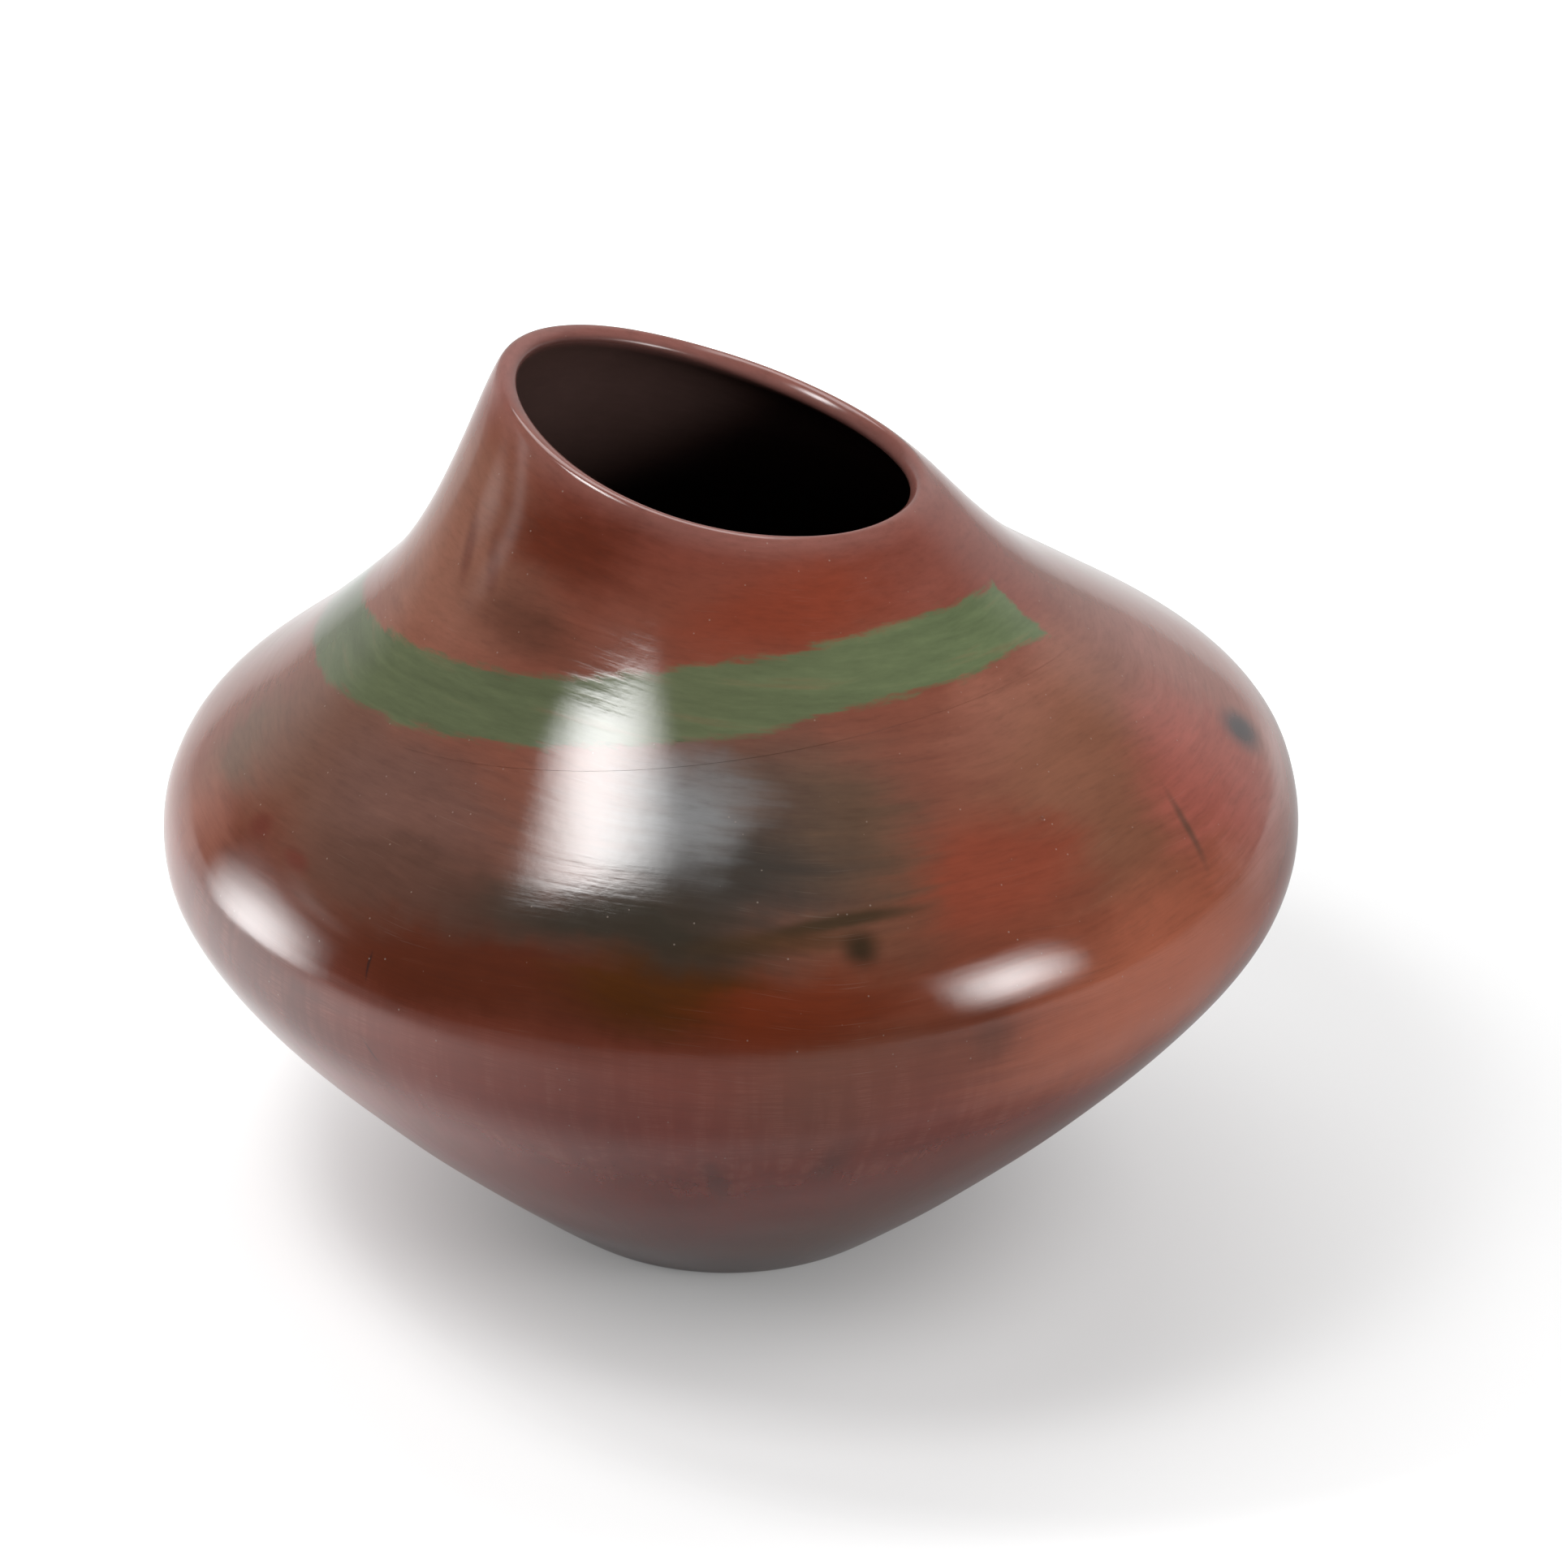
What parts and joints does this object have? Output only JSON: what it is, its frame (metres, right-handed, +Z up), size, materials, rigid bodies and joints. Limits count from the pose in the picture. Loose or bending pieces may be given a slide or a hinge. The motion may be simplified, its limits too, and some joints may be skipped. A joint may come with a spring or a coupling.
{
  "type": "pottery jar",
  "caption": "Squat, wide-bellied clay jar built up from coils, with a small flat foot, a short neck, a slanting mouth with a rounded lip and a green slip stripe on the shoulder.",
  "frame": {"origin": "centre of the flat underside of the base", "axes": "+Z up out of the mouth; -X towards the high side of the lip, +X towards the low side; -Y towards the picture's viewer"},
  "size_m": [0.2493, 0.2494, 0.2015],
  "materials": {
    "burnished_clay": "stone-burnished, low-fired red clay with grey, olive and orange fire clouds; smooth gloss, no glaze",
    "green_slip": "brushed green slip, burnished with the wall"
  },
  "bodies": {
    "root": {"base_pat": "burnished_clay", "lower_coil_1": "burnished_clay", "lower_coil_2": "burnished_clay", "lower_coil_3": "burnished_clay", "lower_coil_4": "burnished_clay", "lower_coil_5": "burnished_clay", "belly_coil_1": "burnished_clay", "belly_coil_2": "burnished_clay", "shoulder_coil_1": "burnished_clay", "shoulder_coil_2": "burnished_clay", "shoulder_coil_3": "burnished_clay", "neck_coil_1": "burnished_clay", "neck_coil_2": "burnished_clay", "rim_coil": "burnished_clay", "green_slip_band": "green_slip"}
  },
  "joints": []
}
